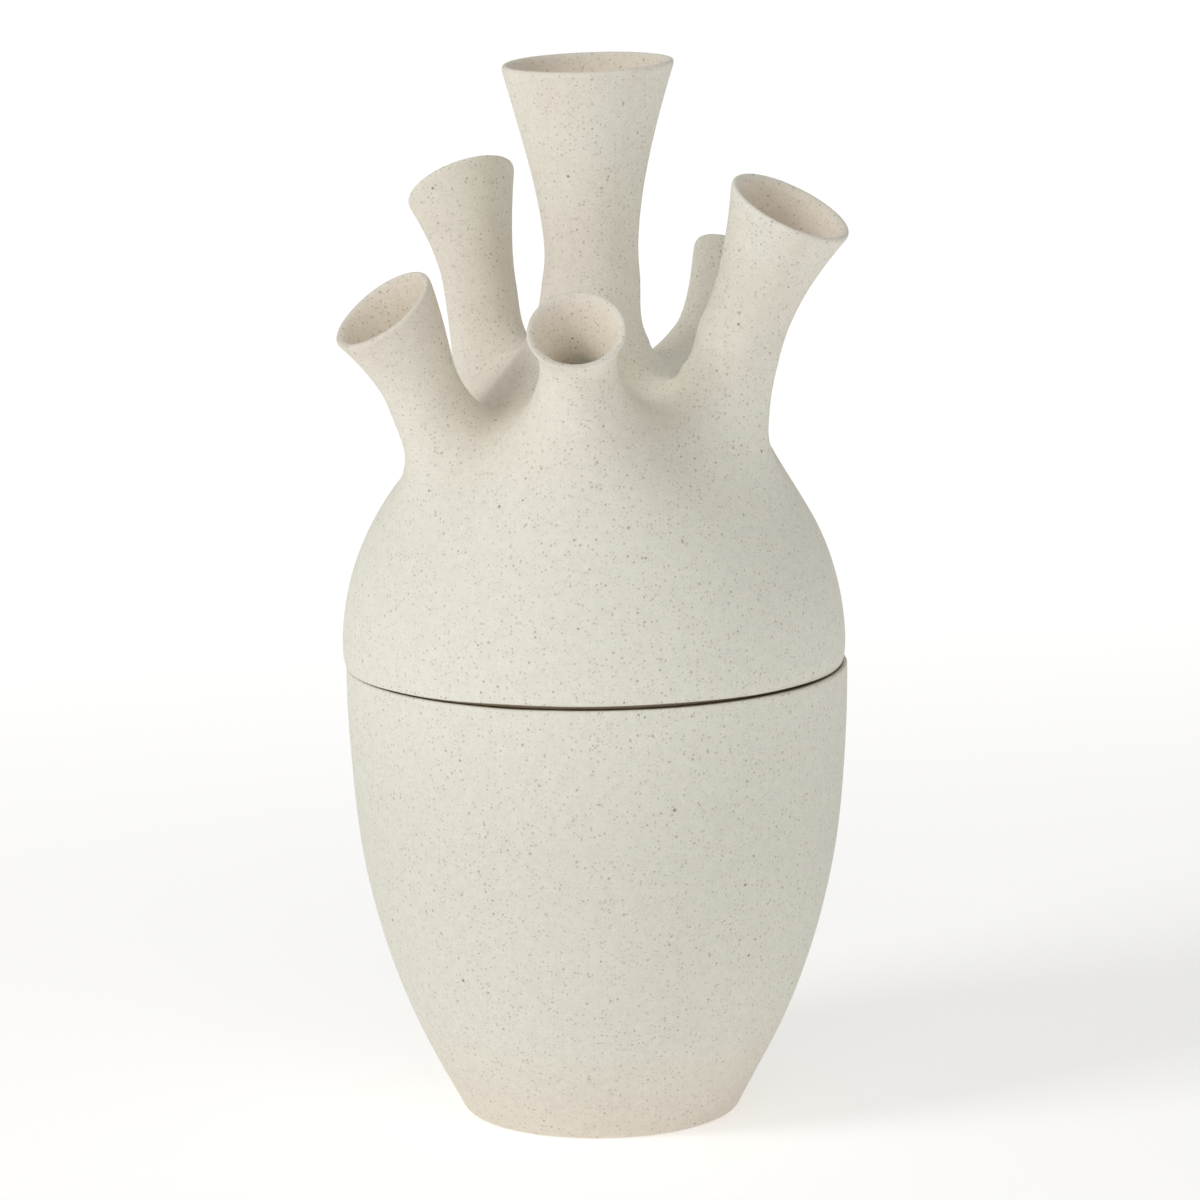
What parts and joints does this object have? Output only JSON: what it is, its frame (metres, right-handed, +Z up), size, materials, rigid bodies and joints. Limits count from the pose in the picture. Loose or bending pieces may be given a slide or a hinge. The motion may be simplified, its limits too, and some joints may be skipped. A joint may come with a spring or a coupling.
{
  "type": "tulip vase",
  "caption": "Stoneware tulip vase: a round water pot under a lift-off domed lid with flared flower spouts.",
  "frame": {"origin": "centre of the foot, on the surface the vase stands on", "axes": "+Z up along the vase's axis; -Y towards the short front spout, +X to its right"},
  "size_m": [0.1617, 0.1623, 0.34],
  "materials": {
    "stoneware": "matt unglazed stoneware, warm off-white with fine brown and grey specks"
  },
  "bodies": {
    "pot": {"water_pot": "stoneware"},
    "lid": {"spouted_lid": "stoneware"}
  },
  "joints": [
    {"name": "lid_lift", "type": "slide", "parent": "pot", "child": "lid", "axis": [0, 0, 1], "range_m": [0, 0.1]}
  ]
}
